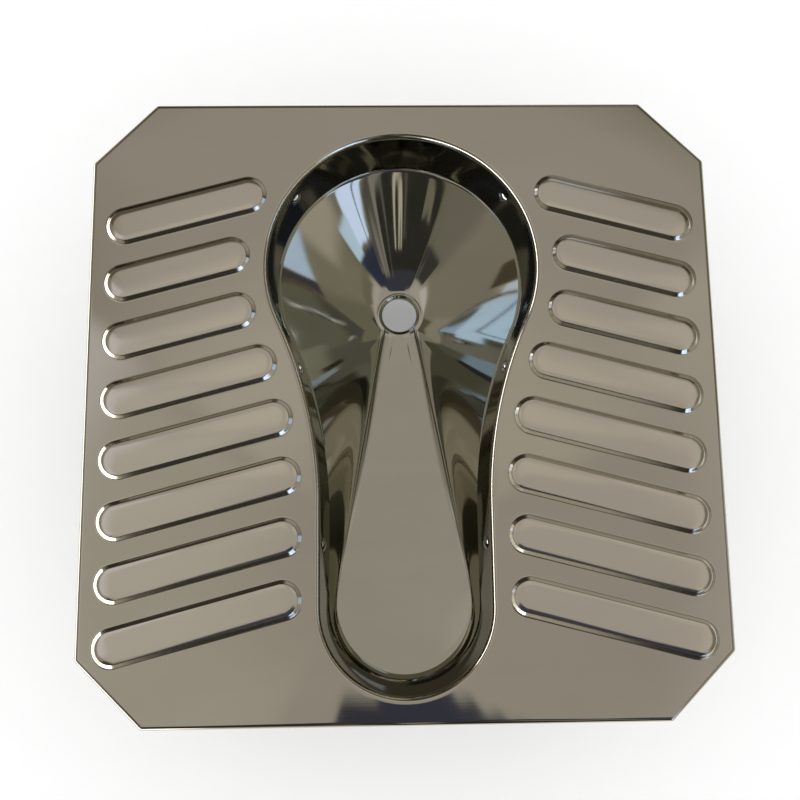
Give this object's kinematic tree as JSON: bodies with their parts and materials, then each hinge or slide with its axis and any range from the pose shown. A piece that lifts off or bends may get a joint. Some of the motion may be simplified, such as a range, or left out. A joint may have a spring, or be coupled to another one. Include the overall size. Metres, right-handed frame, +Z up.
{
  "type": "squat toilet pan",
  "caption": "Pressed stainless steel squat toilet pan with ribbed foot treads, a keyhole bowl with a sloping tongue, side flush nozzles and a raised leg frame.",
  "frame": {"origin": "middle of the deck's footprint, on the floor under the feet", "axes": "+X to the right across the pan, +Y toward the outlet end, +Z up"},
  "size_m": [0.6, 0.594, 0.266],
  "materials": {
    "steel_polished": "polished",
    "steel_plain": "mill",
    "nozzle_chrome": "polished",
    "fitting_brass": "machined",
    "seal_rubber": "matte"
  },
  "bodies": {
    "root": {"deck_plate": "steel_polished", "collar": "steel_polished", "bowl": "steel_polished", "outlet_spigot": "steel_plain", "nozzle_front_left": "nozzle_chrome", "nozzle_front_right": "nozzle_chrome", "nozzle_mid_left": "nozzle_chrome", "nozzle_mid_right": "nozzle_chrome", "nozzle_rear_left": "nozzle_chrome", "nozzle_rear_right": "nozzle_chrome", "nozzle_gaskets": "seal_rubber", "nozzle_nuts": "fitting_brass", "tee_front_left": "fitting_brass", "tee_front_right": "fitting_brass", "tee_mid_left": "fitting_brass", "tee_mid_right": "fitting_brass", "tee_rear_left": "fitting_brass", "tee_rear_right": "fitting_brass", "tee_inlet": "fitting_brass", "inlet_spigot": "fitting_brass", "tube_front_left": "steel_plain", "tube_front_right": "steel_plain", "tube_mid_left": "steel_plain", "tube_mid_right": "steel_plain", "tube_rear_left": "steel_plain", "tube_rear_right": "steel_plain", "clip_front_left": "steel_plain", "clip_front_right": "steel_plain", "clip_side_left": "steel_plain", "clip_side_right": "steel_plain", "rail_left": "steel_plain", "rail_right": "steel_plain", "leg_front_left": "steel_plain", "leg_front_right": "steel_plain", "leg_rear_left": "steel_plain", "leg_rear_right": "steel_plain", "foot_front_left": "steel_plain", "foot_front_right": "steel_plain", "foot_rear_left": "steel_plain", "foot_rear_right": "steel_plain"}
  },
  "joints": []
}
